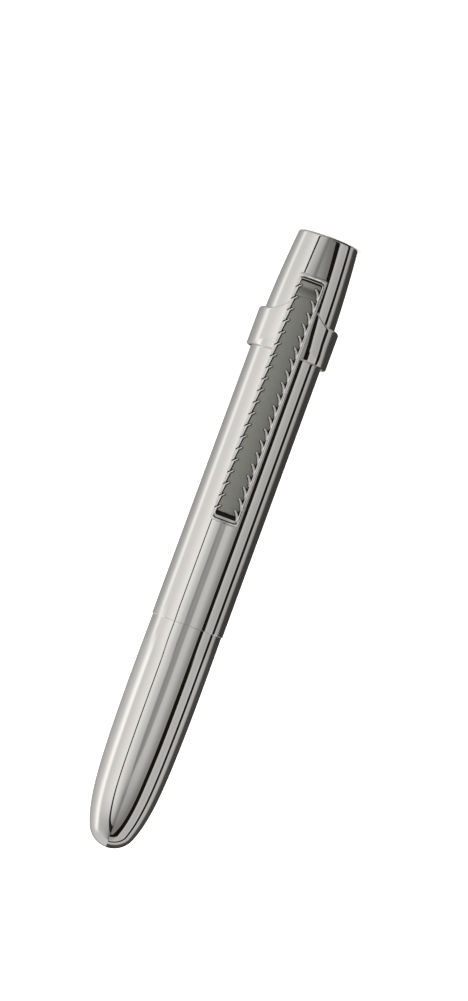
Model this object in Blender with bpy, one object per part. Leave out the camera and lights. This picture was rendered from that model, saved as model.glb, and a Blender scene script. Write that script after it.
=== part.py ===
"""Pocket ballpoint pen with a slip-on clip: a long cap with a flat truncated end, a bullet-ended
barrel, and a pressurised refill inside. It stands on the flat end of its cap, the barrel on top.

Frame: metres, +Z up along the pen's axis, the clip on the -Y side. The origin is the centre of
the cap's flat end. Heights along the axis are written in millimetres and scaled by MM.
"""
import math

import bmesh
import bpy
from mathutils import Matrix, Vector

MM = 0.001

# Whole pen
LENGTH = 100.0
SEAM = 63.64                 # height of the joint between cap and barrel
SEAM_GAP = 0.10
SIDES = 40                   # facets round every large turned piece
FINE_SIDES = 24              # facets round the refill's small pieces

# Cap
CAP_END_R = 4.827            # outer radius the taper would have at the flat end
CAP_END_EDGE = 0.35          # rounded edge of the flat end
CAP_TAPER = 20.0             # height where the taper runs out into the straight part
CAP_R = 5.765
CAP_MOUTH_R = 5.79
CAP_WALL = 0.70
CAP_FLOOR = 2.4
BUSH_BOTTOM = 40.0
BUSH_TOP = 55.0
BUSH_OUT_R = 5.20
BUSH_IN_R = 4.72
COUNTERBORE_R = 5.25

# Barrel
BARREL_MOUTH_R = 5.635
BARREL_R = 5.68
NOSE_R = 3.85                # radius of the ball-shaped nose
NOSE_BLEND = 2.39            # distance from the apex where the ball meets the ogive
BARREL_STRAIGHT = 27.0       # distance from the apex where the ogive runs out
OGIVE_SLOW = 0.83            # part of the ogive's fall that is spread along it
OGIVE_POWER = 6.3            # how late the rest of the fall comes
INSERT_BORE_R = 4.95
INSERT_TOP = 73.2
BARREL_BORE_R = 2.90
BARREL_BLIND = 95.7

# Section, which carries the refill and screws into the barrel
SECTION_R = 4.45
SECTION_TIP = 6.4
SHOULDER_R = 5.10
THREAD_R = 4.10
THREAD_CLEAR = 0.10
TENON_TOP = 72.7
REFILL_BORE_R = 2.55
NOSE_BORE_R = 1.25
SEAL_HEIGHT = 51.0
SEAL_WIRE_R = 0.40
SEAL_RING_R = 4.28

# Refill
TUBE_R = 2.40
TUBE_BORE_R = 1.90
TUBE_BOTTOM = 18.05
TUBE_TOP = 88.0
BALL_R = 0.50
BALL_HEIGHT = 4.50
FLOAT_BOTTOM = 66.0
FLOAT_LENGTH = 4.0
FLOAT_R = 1.82
SPRING_R = 1.85
SPRING_WIRE_R = 0.25
SPRING_BOTTOM = 90.15
SPRING_TOP = 94.5
SPRING_TURNS = 3.5

# Clip
BAND_IN_R = 5.93
BAND_OUT_R = 6.53
BAND_BOTTOM = 13.16
BAND_TOP = 19.40
BAND_EDGE = 0.55             # rounding of the band's lower outer edge
BAND_GAP = 3.0               # opening of the C at the back
BAND_FLARE = 1.70            # how far the band widens towards the blade
BAND_FLARE_START = 2.40
BAND_FLARE_END = 5.40
BAND_NOTCH_X = 1.88          # half width of the relief behind the blade
BAND_NOTCH_TOP = 13.30
BLADE_END_LOW = 6.72
BLADE_END_HIGH = 47.10
BLADE_HALF_LOW = 2.26
BLADE_HALF_HIGH = 2.30
BLADE_CORNER = 0.50
BLADE_BACK = 6.60            # distance of the blade's flat back from the pen's axis
BLADE_FLOOR = 6.95
BLADE_LEDGE = 7.14
BLADE_FACE = 7.42
RIM = 0.52                   # width of the rim along the recess
END_RIM = 0.96               # width of the rim at the blade's two ends
HINGE_HEIGHT = 13.20
HINGE_DEPTH = 6.56
FOOT_HEIGHT = 44.9
FOOT_R = 1.0
INLAY_THICK = 0.13
INLAY_SIDE_GAP = 0.06
INLAY_SHORT = 0.64           # slot left between the inlay and the recess at the free end
BARB_COUNT = 20
BARB_PITCH = 1.896
BARB_FIRST = 8.62            # height of the first barb's tip
BARB_REACH = 0.72            # how far a barb reaches in from the rim
BARB_LEAN = 0.95             # how far its tip leans towards the flat end
BARB_TIP = 0.20


def clear_scene():
    for item in list(bpy.data.objects):
        bpy.data.objects.remove(item, do_unlink=True)


def make_material(name, colour, metallic, roughness):
    material = bpy.data.materials.new(name)
    material.use_nodes = True
    shader = material.node_tree.nodes["Principled BSDF"]
    shader.inputs["Base Color"].default_value = (*colour, 1.0)
    shader.inputs["Metallic"].default_value = metallic
    shader.inputs["Roughness"].default_value = roughness
    return material


def add_mesh(name, build, material, origin=(0.0, 0.0, 0.0), smooth=True):
    """Make an object from a bmesh drawn in world millimetres, with its own origin."""
    centre = Vector(origin)
    build.transform(Matrix.Diagonal((MM, MM, MM, 1.0)) @ Matrix.Translation(-centre))
    mesh = bpy.data.meshes.new(name)
    build.to_mesh(mesh)
    build.free()
    if smooth:
        mesh.shade_smooth()
        mesh.set_sharp_from_angle(angle=math.radians(35.0))
    item = bpy.data.objects.new(name, mesh)
    item.location = centre * MM
    item.data.materials.append(material)
    bpy.context.scene.collection.objects.link(item)
    return item


def turn(profile, sides=SIDES, closed=False):
    """Spin a profile of (radius, height) points round +Z.

    An open profile starts and ends on the axis. A closed one makes a ring or a cup. Either one
    runs up the outer side and back down the inner side, so that the faces point out.
    """
    build = bmesh.new()
    rings = []
    for radius, height in profile:
        if radius < 1e-6:
            rings.append([build.verts.new((0.0, 0.0, height))])
            continue
        ring = []
        for step in range(sides):
            angle = 2.0 * math.pi * (step + 0.5) / sides
            ring.append(build.verts.new((radius * math.cos(angle), radius * math.sin(angle), height)))
        rings.append(ring)
    pairs = list(zip(rings, rings[1:]))
    if closed:
        pairs.append((rings[-1], rings[0]))
    for low, high in pairs:
        join_rings(build, low, high, sides)
    return build


def join_rings(build, low, high, sides):
    """Fill between two rings. Two points on the axis have nothing between them."""
    if len(low) == 1 and len(high) == 1:
        return
    for step in range(sides):
        after = (step + 1) % sides
        if len(low) == 1:
            build.faces.new((low[0], high[after], high[step]))
        elif len(high) == 1:
            build.faces.new((low[step], low[after], high[0]))
        else:
            build.faces.new((low[step], low[after], high[after], high[step]))


def arc(centre, radius, start, end, steps):
    """Points of an arc in the profile's plane, with angles in degrees from the radial axis."""
    points = []
    for step in range(steps + 1):
        angle = math.radians(start + (end - start) * step / steps)
        points.append((centre[0] + radius * math.cos(angle), centre[1] + radius * math.sin(angle)))
    return points


def cap_radius(height):
    """Outer radius of the cap: a shallow arc up to the straight part, then a slight flare."""
    if height < CAP_TAPER:
        return CAP_R - (CAP_R - CAP_END_R) * (1.0 - height / CAP_TAPER) ** 2
    flare = (height - CAP_TAPER) / (SEAM - CAP_TAPER)
    return CAP_R + (CAP_MOUTH_R - CAP_R) * flare


def barrel_radius(height):
    """Outer radius of the barrel: a ball nose, an ogive, and a faint taper to the mouth."""
    from_apex = LENGTH - height
    if from_apex <= NOSE_BLEND:
        return math.sqrt(max(0.0, 2.0 * NOSE_R * from_apex - from_apex ** 2))
    if from_apex >= BARREL_STRAIGHT:
        fall = (from_apex - BARREL_STRAIGHT) / (LENGTH - SEAM - BARREL_STRAIGHT)
        return BARREL_R - (BARREL_R - BARREL_MOUTH_R) * fall ** 2
    blend_r = math.sqrt(2.0 * NOSE_R * NOSE_BLEND - NOSE_BLEND ** 2)
    rest = (BARREL_STRAIGHT - from_apex) / (BARREL_STRAIGHT - NOSE_BLEND)
    late = BARREL_R - blend_r - OGIVE_SLOW
    return BARREL_R - OGIVE_SLOW * rest ** 2 - late * rest ** OGIVE_POWER


def make_cap_shell(material):
    edge = CAP_END_EDGE
    edge_r = cap_radius(edge) - edge
    profile = [(0.0, 0.0)]
    profile += arc((edge_r, edge), edge, -90.0, -5.0, 3)
    profile += [(cap_radius(height), height) for height in (3.0, 6.0, 9.0, 12.0, 16.0, CAP_TAPER)]
    profile += [(CAP_MOUTH_R, SEAM - 0.08), (CAP_MOUTH_R - 0.08, SEAM)]
    profile += [(COUNTERBORE_R + 0.10, SEAM), (COUNTERBORE_R, SEAM - 0.15)]
    profile += [(COUNTERBORE_R, BUSH_BOTTOM - 0.1), (CAP_R - CAP_WALL, BUSH_BOTTOM - 0.1)]
    profile += [(cap_radius(height) - CAP_WALL, height) for height in (20.0, 14.0, 9.0, 4.5)]
    profile += [(cap_radius(3.0) - 1.4, CAP_FLOOR), (0.0, CAP_FLOOR)]
    return add_mesh("cap_shell", turn(profile), material)


def make_cap_bush(material):
    profile = [(BUSH_IN_R + 0.12, BUSH_BOTTOM), (BUSH_OUT_R, BUSH_BOTTOM), (BUSH_OUT_R, BUSH_TOP)]
    profile += [(BUSH_IN_R + 0.20, BUSH_TOP), (BUSH_IN_R, BUSH_TOP - 0.5), (BUSH_IN_R, BUSH_BOTTOM + 0.3)]
    return add_mesh("cap_bush", turn(profile, closed=True), material)


def make_barrel_shell(material):
    profile = [(INSERT_BORE_R + 0.08, SEAM + SEAM_GAP), (BARREL_MOUTH_R - 0.07, SEAM + SEAM_GAP)]
    profile += [(BARREL_MOUTH_R, SEAM + SEAM_GAP + 0.07)]
    outside = (68.0, LENGTH - BARREL_STRAIGHT, 79.0, 84.0, 87.5, 90.0, 92.0, 93.5, 94.8, 96.0, 97.0)
    profile += [(barrel_radius(height), height) for height in outside]
    profile += arc((0.0, LENGTH - NOSE_R), NOSE_R, 23.0, 79.0, 6)
    profile += [(0.0, LENGTH), (0.0, BARREL_BLIND), (1.2, BARREL_BLIND), (BARREL_BORE_R, 94.2)]
    profile += [(BARREL_BORE_R, INSERT_TOP + 0.2), (INSERT_BORE_R, INSERT_TOP + 0.2)]
    profile += [(INSERT_BORE_R, SEAM + SEAM_GAP + 0.08)]
    return add_mesh("barrel_shell", turn(profile, closed=True), material)


def make_thread_insert(material):
    bore = THREAD_R + THREAD_CLEAR
    bottom = SEAM + 0.36
    outer = INSERT_BORE_R - 0.05
    profile = [(bore + 0.25, bottom), (outer, bottom), (outer, INSERT_TOP), (bore + 0.1, INSERT_TOP)]
    profile += [(bore, INSERT_TOP - 0.2), (bore, bottom + 0.25)]
    return add_mesh("thread_insert", turn(profile, closed=True), material)


def make_section_sleeve(material):
    groove = SEAL_RING_R - SEAL_WIRE_R - 0.05
    half = SEAL_WIRE_R + 0.2
    profile = [(NOSE_BORE_R, SECTION_TIP), (1.70, SECTION_TIP), (1.95, SECTION_TIP + 0.25)]
    profile += [(2.72, 11.0), (3.30, 15.5), (3.80, 20.0), (4.22, 25.0), (SECTION_R, 31.0)]
    profile += [(SECTION_R, SEAL_HEIGHT - half), (groove, SEAL_HEIGHT - half)]
    profile += [(groove, SEAL_HEIGHT + half), (SECTION_R, SEAL_HEIGHT + half), (SECTION_R, 56.6)]
    profile += [(SHOULDER_R, 57.25), (SHOULDER_R, SEAM - 0.3), (SHOULDER_R - 0.2, SEAM - 0.04)]
    profile += [(THREAD_R, SEAM - 0.04), (THREAD_R, TENON_TOP - 0.3), (THREAD_R - 0.3, TENON_TOP)]
    profile += [(REFILL_BORE_R, TENON_TOP), (REFILL_BORE_R, 17.0), (NOSE_BORE_R, 15.2)]
    return add_mesh("section_sleeve", turn(profile, closed=True), material)


def make_seal_ring(material):
    centre = (SEAL_RING_R, SEAL_HEIGHT)
    profile = arc(centre, SEAL_WIRE_R, -90.0, 225.0, 7)
    return add_mesh("seal_ring", turn(profile, closed=True), material)


def make_refill_tube(material):
    profile = [(TUBE_R, TUBE_BOTTOM), (TUBE_R, TUBE_TOP), (TUBE_BORE_R, TUBE_TOP)]
    profile += [(TUBE_BORE_R, TUBE_BOTTOM)]
    return add_mesh("refill_tube", turn(profile, FINE_SIDES, closed=True), material)


def make_refill_socket(material):
    cup = BALL_R + 0.04
    lip = BALL_HEIGHT - 0.2
    profile = [(cup, lip), (cup + 0.12, lip), (1.15, 6.1), (1.15, 15.35), (TUBE_R, 17.15)]
    profile += [(TUBE_R, TUBE_BOTTOM - 0.05), (TUBE_BORE_R - 0.05, TUBE_BOTTOM - 0.05)]
    profile += [(TUBE_BORE_R - 0.05, 21.0), (0.30, 21.0), (0.30, BALL_HEIGHT + 0.62)]
    profile += [(cup, BALL_HEIGHT + 0.30)]
    return add_mesh("refill_socket", turn(profile, FINE_SIDES, closed=True), material)


def make_refill_ball(material):
    profile = [(0.0, BALL_HEIGHT - BALL_R)]
    profile += arc((0.0, BALL_HEIGHT), BALL_R, -66.0, 66.0, 6)
    profile += [(0.0, BALL_HEIGHT + BALL_R)]
    return add_mesh("refill_ball", turn(profile, FINE_SIDES), material, (0.0, 0.0, BALL_HEIGHT))


def make_refill_float(material):
    low = FLOAT_BOTTOM
    high = FLOAT_BOTTOM + FLOAT_LENGTH
    edge = 0.5
    profile = [(0.0, low)] + arc((FLOAT_R - edge, low + edge), edge, -90.0, 0.0, 3)
    profile += arc((FLOAT_R - edge, high - edge), edge, 0.0, 90.0, 3) + [(0.0, high)]
    return add_mesh("refill_float", turn(profile, FINE_SIDES), material, (0.0, 0.0, low))


def make_refill_plug(material):
    stem = TUBE_BORE_R - 0.05
    seat = TUBE_TOP + 0.05
    profile = [(0.0, 85.0), (stem - 0.2, 85.0), (stem, 85.2), (stem, seat), (TUBE_R, seat)]
    profile += [(TUBE_R, 89.55), (2.1, 89.8), (1.4, 89.8), (1.4, 91.7), (1.1, 92.0), (0.0, 92.0)]
    return add_mesh("refill_plug", turn(profile, FINE_SIDES), material)


def make_refill_spring(material):
    per_turn = 12
    steps = int(SPRING_TURNS * per_turn)
    curve = bpy.data.curves.new("refill_spring", "CURVE")
    curve.dimensions = "3D"
    curve.bevel_depth = SPRING_WIRE_R * MM
    curve.bevel_resolution = 1
    curve.use_fill_caps = True
    spline = curve.splines.new("POLY")
    spline.points.add(steps)
    for step in range(steps + 1):
        angle = 2.0 * math.pi * step / per_turn
        height = (SPRING_TOP - SPRING_BOTTOM) * step / steps
        place = (SPRING_R * math.cos(angle) * MM, SPRING_R * math.sin(angle) * MM, height * MM, 1.0)
        spline.points[step].co = place
    item = bpy.data.objects.new("refill_spring", curve)
    item.location = (0.0, 0.0, SPRING_BOTTOM * MM)
    curve.materials.append(material)
    bpy.context.scene.collection.objects.link(item)
    return item


def band_floor(across):
    """Lower edge of the band at a distance across from the clip's middle line."""
    offset = abs(across)
    if offset < BAND_NOTCH_X:
        return BAND_NOTCH_TOP
    share = (BAND_FLARE_END - offset) / (BAND_FLARE_END - BAND_FLARE_START)
    return BAND_BOTTOM - BAND_FLARE * min(max(share, 0.0), 1.0) ** 2


def band_stations():
    """Distances round the band, as angles from -Y, dense beside the blade."""
    notch = BAND_NOTCH_X
    near = [0.0, 0.9, notch - 0.01, notch, 2.40, 2.70, 3.05, 3.45, 3.90, 4.50, 5.40]
    angles = [math.asin(across / BAND_OUT_R) for across in near]
    last = math.pi - math.asin(0.5 * BAND_GAP / BAND_OUT_R)
    count = 12
    start = angles[-1]
    angles += [start + (last - start) * step / count for step in range(1, count + 1)]
    return [-angle for angle in reversed(angles[1:])] + angles


def make_clip_band(material):
    build = bmesh.new()
    columns = []
    for angle in band_stations():
        low = band_floor(BAND_OUT_R * math.sin(angle)) if abs(angle) < 0.5 * math.pi else BAND_BOTTOM
        section = [(BAND_IN_R, BAND_TOP), (BAND_IN_R, low), (BAND_OUT_R - BAND_EDGE, low)]
        section += [(BAND_OUT_R - 0.16, low + 0.16), (BAND_OUT_R, low + BAND_EDGE)]
        section += [(BAND_OUT_R, BAND_TOP - 0.08), (BAND_OUT_R - 0.08, BAND_TOP)]
        column = []
        for radius, height in section:
            place = (radius * math.sin(angle), -radius * math.cos(angle), height)
            column.append(build.verts.new(place))
        columns.append(column)
    rows = len(columns[0])
    for left, right in zip(columns, columns[1:]):
        for row in range(rows):
            after = (row + 1) % rows
            build.faces.new((left[row], left[after], right[after], right[row]))
    build.faces.new(list(reversed(columns[0])))
    build.faces.new(columns[-1])
    bmesh.ops.recalc_face_normals(build, faces=build.faces)
    band = add_mesh("clip_band", build, material)
    union(band, make_saddle())
    return band


def make_saddle():
    """The flat pad on the band's front that the blade is joined to."""
    half = BLADE_HALF_LOW - 0.06
    low = BAND_NOTCH_TOP + 0.05
    high = BAND_TOP - 0.1
    front = -(BLADE_BACK - 0.05)
    back = -(BAND_IN_R + 0.12)
    return box((-half, front, low), (half, back, high))


def box(low, high):
    build = bmesh.new()
    bmesh.ops.create_cube(build, size=1.0)
    size = Vector(high) - Vector(low)
    middle = (Vector(high) + Vector(low)) * 0.5
    build.transform(Matrix.Translation(middle) @ Matrix.Diagonal((*size, 1.0)))
    return build


def union(item, build):
    """Join a closed bmesh drawn in world millimetres to an object for good."""
    build.transform(Matrix.Diagonal((MM, MM, MM, 1.0)))
    mesh = bpy.data.meshes.new("union")
    build.to_mesh(mesh)
    build.free()
    tool = bpy.data.objects.new("union_tool", mesh)
    bpy.context.scene.collection.objects.link(tool)
    modifier = item.modifiers.new("union", "BOOLEAN")
    modifier.operation = "UNION"
    modifier.solver = "EXACT"
    modifier.object = tool
    bpy.context.view_layer.update()
    evaluated = item.evaluated_get(bpy.context.evaluated_depsgraph_get())
    joined = bpy.data.meshes.new_from_object(evaluated)
    item.modifiers.clear()
    item.data = joined
    bpy.data.objects.remove(tool, do_unlink=True)


def blade_half(height):
    share = (height - BLADE_END_LOW) / (BLADE_END_HIGH - BLADE_END_LOW)
    return BLADE_HALF_LOW + (BLADE_HALF_HIGH - BLADE_HALF_LOW) * share


def rounded_outline(inset, end_inset, corner):
    """The blade's outline set in from its sides and ends, as points, counter-clockwise."""
    low = BLADE_END_LOW + end_inset
    high = BLADE_END_HIGH - end_inset
    wide_low = blade_half(low) - inset
    wide_high = blade_half(high) - inset
    points = arc((wide_low - corner, low + corner), corner, -90.0, 0.0, 3)
    points += arc((wide_high - corner, high - corner), corner, 0.0, 90.0, 3)
    points += arc((corner - wide_high, high - corner), corner, 90.0, 180.0, 3)
    points += arc((corner - wide_low, low + corner), corner, 180.0, 270.0, 3)
    return points


def barb_points(tip):
    """One barb of the right-hand rim, from below its tip to where its back meets the rim."""
    wall = blade_half(tip) - RIM - 0.05
    point = wall - BARB_REACH
    return [
        (wall, tip + 0.30),
        (point + BARB_TIP, tip - 0.02),
        (point, tip + 0.10),
        (point + 0.08, tip + BARB_TIP + 0.06),
        (wall - 0.14, tip + BARB_LEAN),
        (wall, tip + BARB_LEAN + 0.45),
    ]


def barbed_outline():
    """Inner edge of the rim: a rounded recess whose long sides carry the barbs."""
    low = BLADE_END_LOW + END_RIM + 0.05
    high = BLADE_END_HIGH - END_RIM - 0.05
    corner = 0.25
    wide_low = blade_half(low) - RIM - 0.05
    wide_high = blade_half(high) - RIM - 0.05
    right = arc((wide_low - corner, low + corner), corner, -90.0, 0.0, 2)
    for step in range(BARB_COUNT):
        right += barb_points(BARB_FIRST + BARB_PITCH * step)
    right += arc((wide_high - corner, high - corner), corner, 0.0, 90.0, 2)
    left = [(-across, height) for across, height in reversed(right)]
    return right + left


def make_loop(build, outline, depth):
    verts = [build.verts.new((across, -depth, height)) for across, height in outline]
    edges = [build.edges.new((verts[i], verts[(i + 1) % len(verts)])) for i in range(len(verts))]
    return verts, edges


def wall_between(build, near, far):
    count = len(near)
    for index in range(count):
        after = (index + 1) % count
        build.faces.new((near[index], near[after], far[after], far[index]))


def make_clip_blade(material):
    build = bmesh.new()
    outer = rounded_outline(0.0, 0.0, BLADE_CORNER)
    crown = rounded_outline(0.12, 0.12, BLADE_CORNER - 0.12)
    recess = rounded_outline(RIM, END_RIM, 0.25)
    barbed = barbed_outline()
    back, back_edges = make_loop(build, outer, BLADE_BACK)
    side, _ = make_loop(build, outer, BLADE_FACE - 0.12)
    top, top_edges = make_loop(build, crown, BLADE_FACE)
    floor, floor_edges = make_loop(build, recess, BLADE_FLOOR)
    ledge, ledge_edges = make_loop(build, recess, BLADE_LEDGE)
    under, under_edges = make_loop(build, barbed, BLADE_LEDGE)
    edge, edge_edges = make_loop(build, barbed, BLADE_FACE)
    for near, far in ((back, side), (side, top), (ledge, floor), (edge, under)):
        wall_between(build, near, far)
    for edges in (back_edges, floor_edges, top_edges + edge_edges, ledge_edges + under_edges):
        bmesh.ops.triangle_fill(build, use_beauty=True, edges=edges)
    bmesh.ops.recalc_face_normals(build, faces=build.faces)
    blade = add_mesh("clip_blade", build, material, smooth=False)
    union(blade, make_foot())
    move_origin(blade, (0.0, -HINGE_DEPTH, HINGE_HEIGHT))
    return blade


def make_foot():
    """The dome under the free end that presses on the cap, sunk a little into the blade."""
    tip = BLADE_BACK - 0.70
    centre = tip + FOOT_R
    build = turn([(0.0, 0.0)] + [
        (math.sin(math.radians(a)) * FOOT_R, FOOT_R - math.cos(math.radians(a)) * FOOT_R)
        for a in (20.0, 40.0, 60.0, 80.0)
    ] + [(0.0, FOOT_R - math.cos(math.radians(80.0)) * FOOT_R)], 16)
    build.transform(Matrix.Rotation(math.radians(90.0), 4, "X"))
    build.transform(Matrix.Translation((0.0, FOOT_R - centre, FOOT_HEIGHT)))
    return build


def move_origin(item, place):
    """Put an object's origin at a world point in millimetres without moving its shape."""
    offset = Vector(place) * MM - item.location
    item.data.transform(Matrix.Translation(-offset))
    item.location = item.location + offset


def make_clip_inlay(material):
    build = bmesh.new()
    low = BLADE_END_LOW + END_RIM + INLAY_SIDE_GAP
    high = BLADE_END_HIGH - END_RIM - INLAY_SHORT
    half = blade_half(low) - RIM - INLAY_SIDE_GAP
    corner = 0.2
    outline = arc((half - corner, low + corner), corner, -90.0, 0.0, 3)
    outline += [(half, high), (-half, high)]
    outline += arc((corner - half, low + corner), corner, 180.0, 270.0, 3)
    back, back_edges = make_loop(build, outline, BLADE_FLOOR + 0.03)
    face, face_edges = make_loop(build, outline, BLADE_FLOOR + 0.03 + INLAY_THICK)
    wall_between(build, back, face)
    for edges in (back_edges, face_edges):
        bmesh.ops.triangle_fill(build, use_beauty=True, edges=edges)
    bmesh.ops.recalc_face_normals(build, faces=build.faces)
    return add_mesh("clip_inlay", build, material, (0.0, -HINGE_DEPTH, HINGE_HEIGHT), smooth=False)


def main():
    clear_scene()
    chrome = (0.82, 0.82, 0.80)
    make_cap_shell(make_material("cap_chrome", chrome, 1.0, 0.06))
    make_cap_bush(make_material("bush_polymer", (0.05, 0.05, 0.055), 0.0, 0.45))
    make_clip_band(make_material("band_chrome", chrome, 1.0, 0.07))
    make_clip_blade(make_material("blade_chrome", chrome, 1.0, 0.08))
    make_clip_inlay(make_material("inlay_grey", (0.17, 0.18, 0.16), 0.3, 0.55))
    make_barrel_shell(make_material("barrel_chrome", chrome, 1.0, 0.06))
    make_thread_insert(make_material("insert_brass", (0.72, 0.53, 0.24), 1.0, 0.28))
    make_section_sleeve(make_material("section_chrome", (0.80, 0.80, 0.79), 1.0, 0.10))
    make_seal_ring(make_material("seal_rubber", (0.02, 0.02, 0.02), 0.0, 0.60))
    make_refill_tube(make_material("tube_steel", (0.62, 0.61, 0.58), 1.0, 0.30))
    make_refill_socket(make_material("socket_brass", (0.75, 0.60, 0.32), 1.0, 0.22))
    make_refill_ball(make_material("ball_carbide", (0.45, 0.45, 0.46), 1.0, 0.12))
    make_refill_float(make_material("float_polymer", (0.85, 0.82, 0.70), 0.0, 0.40))
    make_refill_plug(make_material("plug_polymer", (0.03, 0.03, 0.035), 0.0, 0.42))
    make_refill_spring(make_material("spring_steel", (0.60, 0.60, 0.59), 1.0, 0.25))


main()
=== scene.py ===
import math

import bmesh
import bpy
import numpy as np
from mathutils import Matrix, Vector


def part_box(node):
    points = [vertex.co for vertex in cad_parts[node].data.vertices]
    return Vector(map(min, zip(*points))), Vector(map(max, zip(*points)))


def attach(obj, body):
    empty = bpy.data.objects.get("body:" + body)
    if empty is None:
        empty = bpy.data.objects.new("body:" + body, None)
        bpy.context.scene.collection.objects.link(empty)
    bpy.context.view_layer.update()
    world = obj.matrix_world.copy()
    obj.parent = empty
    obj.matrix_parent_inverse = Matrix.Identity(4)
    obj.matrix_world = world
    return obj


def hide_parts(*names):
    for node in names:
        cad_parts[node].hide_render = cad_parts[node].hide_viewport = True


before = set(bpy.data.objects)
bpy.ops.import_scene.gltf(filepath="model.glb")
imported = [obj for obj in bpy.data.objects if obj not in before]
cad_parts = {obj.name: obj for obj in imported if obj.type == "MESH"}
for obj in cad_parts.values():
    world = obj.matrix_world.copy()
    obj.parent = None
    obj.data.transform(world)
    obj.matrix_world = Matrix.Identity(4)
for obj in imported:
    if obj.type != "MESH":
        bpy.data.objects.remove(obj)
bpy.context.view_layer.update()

# The looks of a chromed pocket pen. It stands on its cap's flat end, the clip towards -Y.
# Sizes are in millimetres until a mesh is finished, where MM scales them to the frame's metres.
MM = 0.001


def low(node):
    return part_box(node)[0] / MM


def high(node):
    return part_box(node)[1] / MM


def reach(node):
    """Largest distance of a CAD node's surface from the pen's axis."""
    return max(math.hypot(v.co.x, v.co.y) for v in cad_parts[node].data.vertices) / MM


# Cap and barrel
LENGTH = high("barrel_shell").z
SEAM = high("cap_shell").z
MOUTH = SEAM + 0.012  # the two mouths all but touch
CAP_MOUTH_R = reach("cap_shell")
CAP_R = CAP_MOUTH_R - 0.03
CAP_END_R = 4.840  # radius the taper would have at the flat end
CAP_END_EDGE = 0.35
CAP_TAPER = 18.0  # height where the taper runs out
CAP_WALL = 0.66
CAP_FLOOR = 2.4
COUNTERBORE_R = reach("cap_bush") + 0.05
BARREL_R = reach("barrel_shell")
BARREL_MOUTH_R = BARREL_R - 0.045
NOSE_R = 3.85
NOSE_BLEND = 2.39  # distance from the apex where the ball nose meets the ogive
BARREL_STRAIGHT = 27.0  # distance from the apex where the ogive runs out
OGIVE_SLOW = 0.83
OGIVE_POWER = 6.44
BARREL_BORE_R = 2.90
BARREL_BLIND = 95.7
INSERT_BORE_R = reach("thread_insert") + 0.05

# Thread between section and barrel
THREAD_PITCH = 0.75
THREAD_CREST = 4.08
THREAD_DEPTH = 0.36
THREAD_PLAY = 0.16  # radial play between the two threads

# Clip band
BAND_IN_R = 5.93
BAND_OUT_R = BAND_IN_R + 0.60
BAND_TOP = high("clip_band").z
BAND_LOW = BAND_TOP - 6.24
BAND_EDGE_LOW = 0.50  # rounding of the outer edge towards the flat end
BAND_EDGE_TOP = 0.22
BAND_END_R = 0.14  # rounding of its two open ends
BAND_GAP = 3.0
BAND_FLARE = 1.70  # how far the band widens towards the blade
BAND_FLARE_START = 2.40
BAND_FLARE_END = 5.40
PAD_HALF = 1.88  # half width of the flat pad under the blade, and of the notch below it
PAD_FRONT = 6.55
PAD_RISE = 0.14  # how far the notch lies above the band's low edge

# Clip blade
BLADE_LOW = low("clip_blade").z
BLADE_HIGH = high("clip_blade").z
BLADE_FACE = -low("clip_blade").y
BLADE_BACK = 6.60
BLADE_FLOOR = 6.95  # floor of the recess, on which the inlay lies
BLADE_HALF_LOW = 2.26
BLADE_HALF_HIGH = 2.30
BLADE_CORNER = 0.50
BLADE_EDGE = 0.14
CROWN_R = 8.2  # radius of the front's slight dome
GROOVE_SIDE = 0.27  # distance of the thin groove from the blade's sides
GROOVE_LOW = 0.74  # and from its end at the cap's flat end
GROOVE_HIGH = 0.42  # and from its free end
GROOVE_HALF = 0.045
GROOVE_DEPTH = 0.17
GROOVE_FAINT = 0.045  # its depth along the middle of the blade
GROOVE_FADE = 7.0  # distance from the ends where it has become faint
BEAD_R = 3.0  # radius of the bead outside the groove at either end
BEAD_FLAT = 0.25  # width left flat beside the groove
LEDGE_DEPTH = 0.105  # how far the rim inside that groove is sunk
WALL_SIDE = 0.54  # the same three distances for the rim's inner wall
WALL_LOW = 1.02
WALL_HIGH = 0.96
WALL_EDGE = 0.05
LANE_CORNER = 0.85  # corners of the groove and of the recess
SCALLOP_IN = 0.60  # the wall on the +X side runs between these from barb to barb
SCALLOP_OUT = 0.40
SLOT_END = 1.60  # distance from the free end where the slot stops; its dark look is painted shade
SLOT_FLOOR = 6.80
BARB_COUNT = 20
BARB_PITCH = 1.896
BARB_FIRST = 8.66  # height of the lowest barbs' tips
BARB_SUNK = 0.01
BARB_ROUND = 0.06
NOTCH_OFFSET = 0.18  # distance from a barb's middle to the cut beside it
NOTCH_HALF = 0.085
NOTCH_DEPTH = 0.24
FOOT_HEIGHT = 44.9
FOOT_R = 1.0
FOOT_TIP = 5.90

# Inlay
INLAY_BACK = BLADE_FLOOR + 0.03
INLAY_FACE = 7.16
INLAY_LOW = 7.98
INLAY_HIGH = 45.50
INLAY_CROWN_R = 14.0
INLAY_CUT_IN = 0.12  # its cut corners, across and along
INLAY_CUT_UP = 0.07
INLAY_CUTS = 1.5  # half the width over which its face is divided to dome it


# ---- mesh helpers

def finish_mesh(name, build, material, sharp=35.0):
    """Turn a bmesh drawn in millimetres into a smooth-shaded object in metres."""
    build.transform(Matrix.Diagonal((MM, MM, MM, 1.0)))
    mesh = bpy.data.meshes.new(name)
    build.to_mesh(mesh)
    build.free()
    mesh.shade_smooth()
    mesh.set_sharp_from_angle(angle=math.radians(sharp))
    mesh.materials.append(material)
    return add_object(name, mesh)


def add_object(name, data):
    item = bpy.data.objects.new(name, data)
    bpy.context.scene.collection.objects.link(item)
    return item


def place(item, body, node):
    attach(item, body)
    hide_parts(node)
    return item


def arc(centre, radius, start, end, steps):
    """Points of an arc in a profile's plane, with angles in degrees from the radial axis."""
    points = []
    for step in range(steps + 1):
        angle = math.radians(start + (end - start) * step / steps)
        points.append((centre[0] + radius * math.cos(angle), centre[1] + radius * math.sin(angle)))
    return points


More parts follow.
